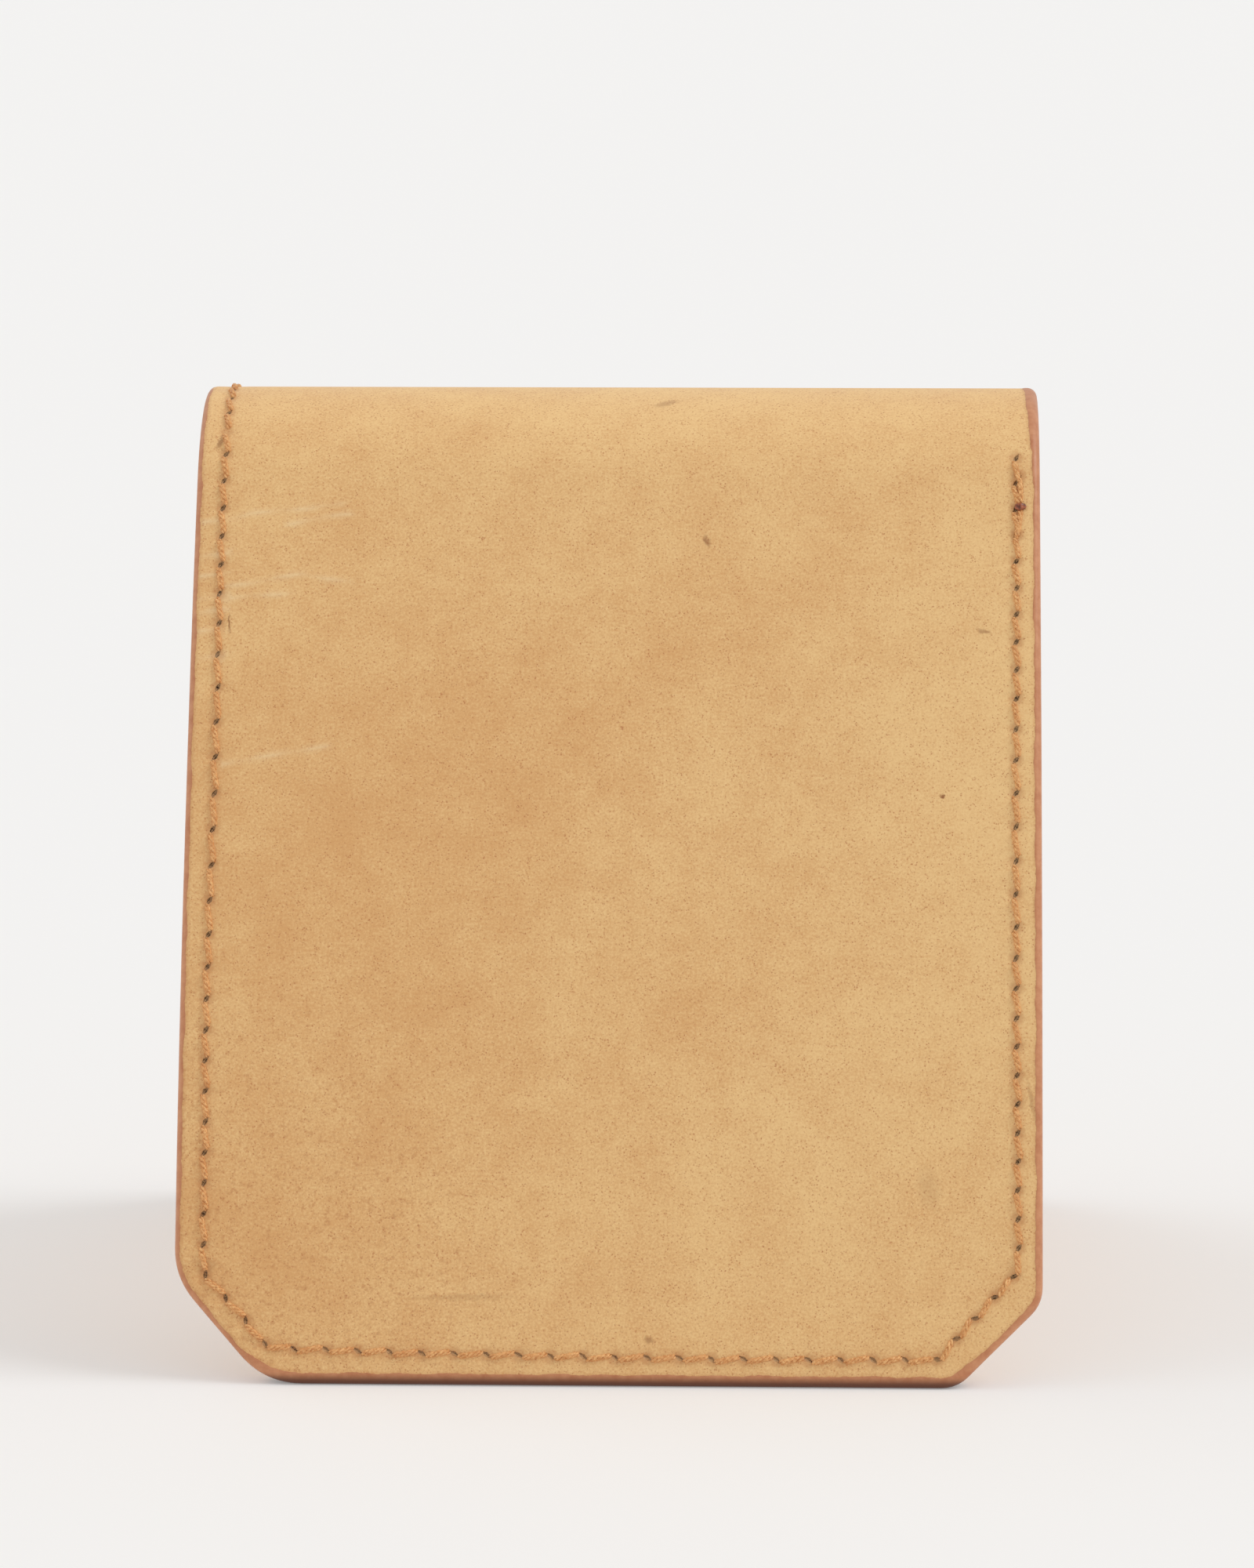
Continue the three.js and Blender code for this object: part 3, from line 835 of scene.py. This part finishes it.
def twisted(path, phase, outwards, radius=PLY_RADIUS, offset=PLY_OFFSET):
    """The plies of a thread along a flat path (x, s, t), as points and faces. outwards is the sign of t
    that points away from the leather."""
    ahead = np.gradient(path, axis=0)
    ahead /= np.linalg.norm(ahead, axis=1)[:, None]
    away = np.array([0.0, 0.0, outwards])
    side = np.cross(ahead, away)
    side /= np.maximum(np.linalg.norm(side, axis=1), 1e-6)[:, None]
    rise = np.cross(side, ahead)
    far = np.concatenate([[0], np.cumsum(np.linalg.norm(np.diff(path, axis=0), axis=1))])
    points, faces = [], []
    for ply in range(PLIES):
        turn = phase + 2 * math.pi * (far / TWIST_LENGTH + ply / PLIES)
        middle = path + offset * (np.cos(turn)[:, None] * side + np.sin(turn)[:, None] * rise)
        base = len(points) * len(path) * PLY_SIDES
        ring = []
        for k in range(PLY_SIDES):
            a = 2 * math.pi * k / PLY_SIDES
            ring.append(middle + radius * (math.cos(a) * side + math.sin(a) * rise))
        points.append(np.stack(ring, axis=1).reshape(-1, 3))
        for i in range(len(path) - 1):
            for k in range(PLY_SIDES):
                a, b = base + i * PLY_SIDES + k, base + i * PLY_SIDES + (k + 1) % PLY_SIDES
                faces.append((a, b, b + PLY_SIDES, a + PLY_SIDES))
        last = base + (len(path) - 1) * PLY_SIDES
        faces.append(tuple(range(base, base + PLY_SIDES))[::-1])
        faces.append(tuple(range(last, last + PLY_SIDES)))
    return np.concatenate(points), faces


def stitch(start, end, face, outwards, phase):
    """One stitch from start to end, flat places (x, s), lying on a face whose depth is face(x, s)."""
    start, end = np.array(start), np.array(end)
    bow = STITCH_BOW * math.sin(phase * 3.7) * np.array([end[1] - start[1], start[0] - end[0]])
    depths = (1.2, 0.7, 0.28, 0.04, -0.08, -0.12, -0.12, -0.08, 0.04, 0.28, 0.7, 1.2)
    shares = (0.0, 0.01, 0.05, 0.12, 0.24, 0.4, 0.6, 0.76, 0.88, 0.95, 0.99, 1.0)
    route = []
    for sunk, share in zip(depths, shares):
        x, s = start + (end - start) * share + bow * 4 * share * (1 - share)
        route.append((x, s, face(x, s) - outwards * sunk))
    return twisted(through(route, STITCH_STEPS), phase, outwards)


def outer_face(x, s):
    return 0.0


def inner_face(x, s):
    """The depth of the inside where the seam runs: pocket rims low down, bare lining above them."""
    up = FOOT - abs(s)
    on_pocket = 1 - float(smooth(POCKET_TOP_UP - 0.7, POCKET_TOP_UP + 0.7, up))
    return LINING_TOP + LINING + on_pocket * (HAIRLINE + POCKET) + 0.08


# %% Sew the seam
def seam_stitches(outwards):
    """Every stitch of one side of the seam, as (middle s, start, end, phase)."""
    sewn = []
    for i in range(sewn_holes - 1):
        start = holes[i] - outwards * hole_axis[i] * HOLE_REACH
        end = holes[i + 1] + outwards * hole_axis[i + 1] * HOLE_REACH
        sewn.append(((holes[i][1] + holes[i + 1][1]) / 2, start, end, 0.9 * i))
    return sewn


def back_tack(sign):
    """The last stitches are sewn twice. The second run lies beside the first one and ends in the knot."""
    x, up = EXTRA_HOLE
    low_hole = (RIGHT_SEAM + 0.05, 95.9)
    runs = [((x, up - 0.2), (KNOT[0], KNOT[1] + 0.3)), ((KNOT[0] + 0.1, KNOT[1] - 0.2), low_hole)]
    return [tuple(np.array([px, sign * (FOOT - pu)]) for px, pu in run) for run in runs]


KNOT = (RIGHT_SEAM + 0.5, 99.7)


def thread_piece(name, stitches):
    points, faces, depths = [], [], []
    base = 0
    for start, end, face, outwards, phase in stitches:
        made, made_faces = stitch(start, end, face, outwards, phase)
        points.append(made)
        depths.append((face(*((start + end) / 2)) - made[:, 2]) * outwards)
        faces += [tuple(v + base for v in f) for f in made_faces]
        base += len(made)
    flat = np.concatenate(points)
    piece = solid(name, bend(flat[:, 0], flat[:, 1], flat[:, 2]), faces)
    keep_on_points(piece, "flat", "FLOAT_VECTOR", flat)
    keep_on_points(piece, "sunk", "FLOAT", np.concatenate(depths))
    print(name, len(stitches), "stitches")
    return piece


seams = []
for k, name in enumerate(part_names):
    low, high = spans[k]
    low, high = (-1e3 if k == 0 else low), (1e3 if k == 5 else high)
    wanted = []
    for outwards, face in ((-1, outer_face), (1, inner_face)):
        for middle, start, end, phase in seam_stitches(outwards):
            if low <= middle < high:
                wanted.append((start, end, face, outwards, phase))
    if k in (0, 5):
        for n, (start, end) in enumerate(back_tack(1 if k == 5 else -1)):
            wanted.append((start, end, outer_face, -1, 0.4 + 2 * n))
    piece = thread_piece(f"{name}_seam_thread", wanted)
    start, end = bend_ends[k]
    first, last = tuple(bend(0, start, SHELL / 2)), tuple(bend(0, end, SHELL / 2))
    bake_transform(piece)
    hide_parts(*([f"fold_seam_{n}" for n in part_strips[k]] or [f"{name}_seam"]))
    seams.append(piece)

# %% Sew the tongues of the upper pockets to the lining
for leaf, sign in (("front", 1), ("back", -1)):
    for name in ("upper", "middle"):
        up = TONGUE_END_UP[name] + 3
        places = [(x, sign * (FOOT - up)) for x in np.arange(-36, 36.1, 3.6)]
        depth = raised_depth(name) + POCKET - 0.32
        wanted = []
        for i, (a, b) in enumerate(zip(places[:-1], places[1:])):
            gap = np.array([0.35, 0.0])
            wanted.append((np.array(a) + gap, np.array(b) - gap, lambda x, s, d=depth: d, 1, 0.7 * i))
        piece = thread_piece(f"{leaf}_{name}_tongue_thread", wanted)
        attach(piece, f"{leaf}_leaf")
        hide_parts(f"{leaf}_{name}_pocket_seam")
        seams.append(piece)

# %% [markdown]
# ## The melted ends of the thread
#
# The maker finishes a seam by sewing a few stitches twice, cutting the thread close and melting the end
# with a flame. What is left is a small dark bead pressed onto the leather. It is a ball of points pushed
# about by a noise and flattened, so that no two sides of it are alike.

# %% Melt the ends
KNOT_RADIUS = 0.52
BEAD_STRETCH = np.array([1.15, 0.9, 0.55])  # along the fold, along the seam, away from the leather
beads = []
for leaf, sign in (("front", 1), ("back", -1)):
    ball = bmesh.new()
    bmesh.ops.create_icosphere(ball, subdivisions=4, radius=1.0)
    places = np.array([v.co[:] for v in ball.verts])
    faces = [tuple(v.index for v in f.verts) for f in ball.faces]
    ball.free()
    lumps = np.array([1 + 0.3 * noise.noise(Vector(p) * 1.6 + Vector((sign, 3, 5))) for p in places])
    local = places * lumps[:, None] * BEAD_STRETCH * KNOT_RADIUS
    flat = local * (1, 1, -1) + (KNOT[0], sign * (FOOT - KNOT[1]), -0.12)
    piece = solid(f"{leaf}_melted_thread_end", bend(*flat.T), faces if sign > 0 else [f[::-1] for f in faces])
    keep_on_points(piece, "flat", "FLOAT_VECTOR", flat)
    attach(piece, f"{leaf}_leaf")
    beads.append(piece)
print("melted ends:", [b.name for b in beads])

# %% [markdown]
# ## Finishes
#
# Every finish is painted with noises on the flat pattern, in millimetres, so that its grain has its true
# size and runs on from one piece to the next. A small helper keeps each step to one short line: it makes a
# node, sets or links its inputs, and gives back its output.

# %% A helper for finishes
def colour(red, green, blue):
    """A colour for a shader, from the 0 to 255 values of a colour card."""
    shares = (red / 255, green / 255, blue / 255)
    return tuple((c / 12.92 if c <= 0.04045 else ((c + 0.055) / 1.055) ** 2.4) for c in shares) + (1,)


class Finish:
    def __init__(self, name, roughness, specular=0.5, sheen=0.0):
        self.material = bpy.data.materials.new(name)
        self.material.use_nodes = True
        self.tree = self.material.node_tree
        self.shader = self.tree.nodes["Principled BSDF"]
        self.shader.inputs["Roughness"].default_value = roughness
        self.shader.inputs["Specular IOR Level"].default_value = specular
        self.shader.inputs["Sheen Weight"].default_value = sheen
        self.flat = self.kept("flat", "Vector")

    def put(self, socket, value):
        if isinstance(value, bpy.types.NodeSocket):
            self.tree.links.new(value, socket)
        else:
            socket.default_value = value

    def kept(self, name, field="Fac"):
        """What the points of a piece keep under a name."""
        node = self.tree.nodes.new("ShaderNodeAttribute")
        node.attribute_name = name
        return node.outputs[field]

    def sums(self, operation, *values, clamp=False):
        node = self.tree.nodes.new("ShaderNodeMath")
        node.operation = operation
        node.use_clamp = clamp
        for socket, value in zip(node.inputs, values):
            self.put(socket, value)
        return node.outputs[0]

    def noise(self, size, detail=2.0, roughness=0.5, where=None, field="Fac"):
        """A cloudy noise whose features are about size millimetres wide."""
        node = self.tree.nodes.new("ShaderNodeTexNoise")
        self.put(node.inputs["Vector"], where or self.flat)
        node.inputs["Scale"].default_value = 1 / size
        node.inputs["Detail"].default_value = detail
        node.inputs["Roughness"].default_value = roughness
        return node.outputs[field]

    def ramp(self, value, low, high, at_low=0.0, at_high=1.0):
        """A smooth change from at_low to at_high while value goes from low to high."""
        node = self.tree.nodes.new("ShaderNodeMapRange")
        node.interpolation_type = "SMOOTHSTEP"
        for socket, v in zip(node.inputs, (value, low, high, at_low, at_high)):
            self.put(socket, v)
        return node.outputs["Result"]

    def mix(self, share, a, b, way="MIX"):
        node = self.tree.nodes.new("ShaderNodeMix")
        node.data_type = "RGBA"
        node.blend_type = way
        self.put(node.inputs["Factor"], share)
        for socket, v in zip([s for s in node.inputs if s.type == "RGBA"], (a, b)):
            self.put(socket, v)
        return next(s for s in node.outputs if s.type == "RGBA")

    def placed(self, middle, size, turn=0.0, where=None):
        """The flat pattern moved, turned and scaled so that a patch becomes a ball of radius 1."""
        node = self.tree.nodes.new("ShaderNodeMapping")
        node.vector_type = "TEXTURE"
        self.put(node.inputs["Vector"], where or self.flat)
        node.inputs["Location"].default_value = (middle[0], middle[1], 0)
        node.inputs["Rotation"].default_value = (0, 0, turn)
        node.inputs["Scale"].default_value = (size[0], size[1], 1e3)
        return node.outputs["Vector"]

    def patch(self, middle, size, turn=0.0, where=None, soft=1.0):
        """1 in the middle of an oval patch and 0 outside it. size is its half width and half length."""
        node = self.tree.nodes.new("ShaderNodeVectorMath")
        node.operation = "LENGTH"
        self.put(node.inputs[0], self.placed(middle, size, turn, where))
        return self.ramp(node.outputs["Value"], 1.0, 1.0 - soft)

    def ragged(self, size, strength):
        """The flat pattern shaken by a noise, for patches with torn outlines."""
        shake = self.tree.nodes.new("ShaderNodeVectorMath")
        shake.operation = "MULTIPLY_ADD"
        self.put(shake.inputs[0], self.noise(size, 3.0, 0.6, field="Color"))
        shake.inputs[1].default_value = (strength, strength, 0)
        centred = self.tree.nodes.new("ShaderNodeVectorMath")
        centred.operation = "ADD"
        self.put(centred.inputs[0], self.flat)
        centred.inputs[1].default_value = (-strength / 2, -strength / 2, 0)
        self.put(shake.inputs[2], centred.outputs["Vector"])
        return shake.outputs["Vector"]

    def relief(self, height, depth_mm):
        """Fine relief that is too small for points."""
        node = self.tree.nodes.new("ShaderNodeBump")
        node.inputs["Strength"].default_value = 1.0
        node.inputs["Distance"].default_value = depth_mm * MM
        self.put(node.inputs["Height"], height)
        self.tree.links.new(node.outputs["Normal"], self.shader.inputs["Normal"])

    def paints(self, base):
        self.put(self.shader.inputs["Base Color"], base)


# %% [markdown]
# ### Vegetable-tanned leather
#
# Untreated leather darkens where hands hold it and stays pale where it is bent or seldom touched. On top
# of that slow change come cloudy mottles, fine fibres, dark hair pores, and a few stains and scratches
# from use. The tones are mixed from pale straw to tan with a redder tan in the pores. The edge paint is
# part of the same finish, because it is a coat on the same piece of leather.

# %% The tones
STRAW = colour(243, 203, 142)
TAN = colour(221, 167, 107)
RED_TAN = colour(190, 126, 74)
PORE = colour(184, 112, 62)
STAIN = colour(146, 88, 44)
PALE_FIBRE = colour(243, 214, 166)
# the near black of the painted shade in the holes
PAINTED_HOLE_SHADE = colour(90, 36, 10)
SIENNA = colour(210, 148, 106)
DEEP_SIENNA = colour(186, 118, 78)
# the dark brown of the painted shade along the foot's edge paint
PAINTED_FOOT_SHADE = colour(104, 58, 34)


def grain(finish, pore_share, pore_strength):
    """Shares of fibre mottle and of pores, which both the colour and the relief use."""
    fibre = finish.noise(0.28, 4.0, 0.7)
    cells = finish.tree.nodes.new("ShaderNodeTexVoronoi")
    cells.inputs["Scale"].default_value = 1 / 0.34
    finish.put(cells.inputs["Vector"], finish.ragged(0.5, 0.35))
    picked = finish.ramp(finish.noise(1.1, 3.0, 0.6), pore_share, pore_share + 0.4, 0.2, 1.0)
    pores = finish.sums("MULTIPLY", finish.ramp(cells.outputs["Distance"], 0.36, 0.08), picked)
    return fibre, finish.sums("MULTIPLY", pores, pore_strength)


def edge_coat(finish, base, rough):
    """Edge paint over a base colour and roughness, with painted shade that darkens the paint along the foot.
    """
    uneven = finish.ramp(finish.noise(0.8, 3.0), 0.3, 0.7, -0.05, 0.05)
    coat = finish.ramp(finish.sums("ADD", finish.kept("paint"), uneven), -0.03, 0.03)
    worn = finish.ramp(finish.noise(1.4, 4.0, 0.65), 0.2, 0.8)
    sienna = finish.mix(worn, DEEP_SIENNA, SIENNA)
    split = finish.tree.nodes.new("ShaderNodeSeparateXYZ")
    finish.put(split.inputs[0], finish.flat)
    # painted shade: the edge paint turns dark brown along the foot, where the rounded edge turns down towards
    # the floor
    at_foot = finish.ramp(finish.sums("ABSOLUTE", split.outputs[1]), FOOT - 1.5, FOOT - 0.4)
    sienna = finish.mix(at_foot, sienna, PAINTED_FOOT_SHADE)
    finish.paints(finish.mix(coat, base, sienna))
    smoother = finish.sums("MULTIPLY", coat, -0.16)
    finish.put(finish.shader.inputs["Roughness"], finish.sums("ADD", smoother, rough))
    return coat


def leather(name, patina, marked, pore_share=0.28, sheen=0.06):
    """patina is how far hands have darkened it, and marked adds the stains of the outside."""
    finish = Finish(name, 0.55, specular=0.4, sheen=sheen)
    fibre, pores = grain(finish, pore_share, 1.0)
    slow = finish.ramp(finish.noise(30, 3.0, 0.5), 0.3, 0.7)
    cloud = finish.ramp(finish.noise(7, 4.0, 0.6), 0.3, 0.72)
    mottle = finish.ramp(finish.noise(1.9, 4.0, 0.65), 0.3, 0.7)
    dark = finish.sums("MULTIPLY", slow, 0.08)
    dark = finish.sums("MULTIPLY_ADD", cloud, 0.22, dark)
    dark = finish.sums("MULTIPLY_ADD", mottle, 0.13, dark)
    dark = finish.sums("MULTIPLY_ADD", finish.ramp(fibre, 0.32, 0.68), 0.5, dark)
    if patina:
        dark = hand_darkened(finish, dark, patina)
    base = finish.mix(finish.ramp(dark, 0.0, 1.0), STRAW, TAN)
    flecked = finish.patch((-40, 110), (46, 52), soft=0.9)
    flecks = finish.ramp(finish.noise(0.8, 4.0, 0.7), 0.5, 0.72)
    flecks = finish.sums("MULTIPLY", flecks, finish.ramp(flecked, 0, 1, 0.14, 0.6))
    base = finish.mix(flecks, base, RED_TAN)
    base = finish.mix(finish.sums("MULTIPLY", pores, 0.8), base, PORE)
    base = finish.mix(finish.sums("MULTIPLY", finish.kept("crease"), 0.5), base, PALE_FIBRE)
    if marked:
        base = stained(finish, base)
    # painted shade: within a millimetre of a hole the leather turns a darker, redder tan, for the shade
    # beside the sunk thread
    hole = finish.kept("hole")
    base = finish.mix(finish.ramp(hole, 1.1, 0.5, 0.0, 0.45), base, RED_TAN)
    near_paint = finish.ramp(finish.kept("paint"), -0.5, 0.0, 0.0, 0.25)
    base = finish.mix(near_paint, base, RED_TAN)
    rough = finish.ramp(cloud, 0.0, 1.0, 0.6, 0.5)
    coat = edge_coat(finish, base, rough)
    coloured = finish.shader.inputs["Base Color"].links[0].from_socket
    # painted shade: the walls of each hole turn near black towards the hidden skin, for the shade inside the
    # narrow hole
    finish.paints(finish.mix(finish.ramp(finish.kept("bore"), 0.01, 0.12), coloured, PAINTED_HOLE_SHADE))
    skin = finish.sums("SUBTRACT", finish.sums("MULTIPLY", fibre, 0.6), finish.sums("MULTIPLY", pores, 0.5))
    skin = finish.sums("MULTIPLY", skin, finish.sums("SUBTRACT", 1.0, finish.sums("MULTIPLY", coat, 0.8)))
    step = finish.sums("MULTIPLY_ADD", coat, 1.2, skin)
    finish.relief(step, 0.03)
    return finish.material


# %% [markdown]
# ### Patina and stains
#
# Patina is laid as a few wide soft patches where the hand closes round the card holder: darker in the
# middle and at the left, pale along the fold and at the right. Both leaves are held the same way, so the
# patches are laid by the distance from the fold and serve both. The stains are small, sit only on the
# front, and are torn at their outlines.

# %% Lay the patina
HELD = (  # middle (across, from the fold), half size, turn in degrees, strength
    ((-28, 60), (34, 44), 0, 0.26),
    ((-8, 50), (17, 26), 15, 0.14),
    ((-38, 106), (30, 24), 0, 0.24),
    ((-18, 90), (17, 19), 20, 0.13),
    ((10, 38), (15, 13), 30, 0.12),
    ((8, 78), (13, 24), 40, 0.1),
)
SPARED = (
    ((48, 60), (30, 80), 0, 0.22),
    ((0, 0), (90, 22), 0, 0.2),
    ((20, 96), (26, 24), 0, 0.1),
)


def hand_darkened(finish, dark, patina):
    split = finish.tree.nodes.new("ShaderNodeSeparateXYZ")
    finish.put(split.inputs[0], finish.ragged(11, 9))
    whole = finish.tree.nodes.new("ShaderNodeCombineXYZ")
    finish.put(whole.inputs[0], split.outputs[0])
    finish.put(whole.inputs[1], finish.sums("ABSOLUTE", split.outputs[1]))
    for patches, sign in ((HELD, 1), (SPARED, -1)):
        for middle, size, turn, strength in patches:
            share = finish.patch(middle, size, math.radians(turn), whole.outputs[0])
            dark = finish.sums("MULTIPLY_ADD", share, sign * strength * patina, dark)
    return dark


# %% Add the stains
STAINS = (  # middle (across, up), half size, turn in degrees, strength
    ((5.3, 114.8), (2.2, 0.8), 28, 0.4),
    ((10.1, 95.5), (0.5, 0.95), 20, 0.7),
    ((41.1, 84.9), (1.1, 0.35), -10, 0.55),
    ((36.5, 65.7), (0.3, 0.34), 0, 0.9),
    ((4.6, 5.3), (0.9, 0.55), -30, 0.55),
    ((-43.2, 85.5), (0.2, 1.6), 3, 0.75),
    ((-45.1, 107.6), (0.42, 1.4), -12, 0.6),
    ((-43.9, 12.9), (1.5, 1.2), 30, 0.3),
    ((46.3, 31.5), (0.35, 3.6), 12, 0.35),
    ((-16, 9.7), (7.5, 0.6), 1, 0.2),
    ((35, 22), (1.8, 3.2), 12, 0.16),
)


def stained(finish, base):
    torn = finish.ragged(0.9, 1.0)
    for (x, up), size, turn, strength in STAINS:
        share = finish.patch((x, FOOT - up), size, -math.radians(turn), torn, soft=0.8)
        base = finish.mix(finish.sums("MULTIPLY", share, strength), base, STAIN)
    return base


shell_finish = leather("patinated leather with painted edge", patina=1.0, marked=True)
lining_finish = leather("lining leather", patina=0.0, marked=False, pore_share=0.5)
pocket_finish = leather("pocket leather with painted mouth", patina=0.25, marked=False, pore_share=0.46)
for pieces, finish in ((shell, shell_finish), (lining, lining_finish), (pockets, pocket_finish)):
    for piece in pieces:
        piece.data.materials.append(finish)
print("leather finishes:", shell_finish.name, "/", lining_finish.name, "/", pocket_finish.name)

# %% [markdown]
# ### Waxed thread
#
# The thread is warm tan with a waxy gloss. Its tone wanders at random between a darker and a paler tan,
# and painted shade darkens it where it dives into the holes. A fine noise stands for its fibres. The melted
# ends are the same plastic fibre, burnt to a dark red-brown.

# %% The thread and its melted ends
thread = Finish("waxed tan thread", 0.42, specular=0.5, sheen=0.1)
strand = thread.ramp(thread.noise(0.35, 3.0, 0.6), 0.3, 0.7)
aged = thread.ramp(thread.noise(6, 2.0, 0.5), 0.35, 0.65)
tone = thread.mix(strand, colour(200, 132, 70), colour(246, 194, 130))
tone = thread.mix(thread.sums("MULTIPLY", aged, 0.35), tone, colour(214, 150, 90))
# painted shade: the thread turns dark brown as it sinks below the leather into a hole
tone = thread.mix(thread.ramp(thread.kept("sunk"), 0.0, 0.3), tone, colour(84, 44, 18))
thread.paints(tone)
thread.relief(thread.noise(0.12, 2.0), 0.02)
for piece in seams:
    piece.data.materials.append(thread.material)

melted = Finish("melted thread end", 0.3, specular=0.5)
charred = melted.ramp(melted.noise(0.5, 3.0), 0.35, 0.65)
melted.paints(melted.mix(charred, colour(78, 36, 22), colour(170, 96, 64)))
melted.relief(melted.noise(0.3, 3.0), 0.05)
for piece in beads:
    piece.data.materials.append(melted.material)
print("thread finishes:", thread.material.name, "/", melted.material.name)
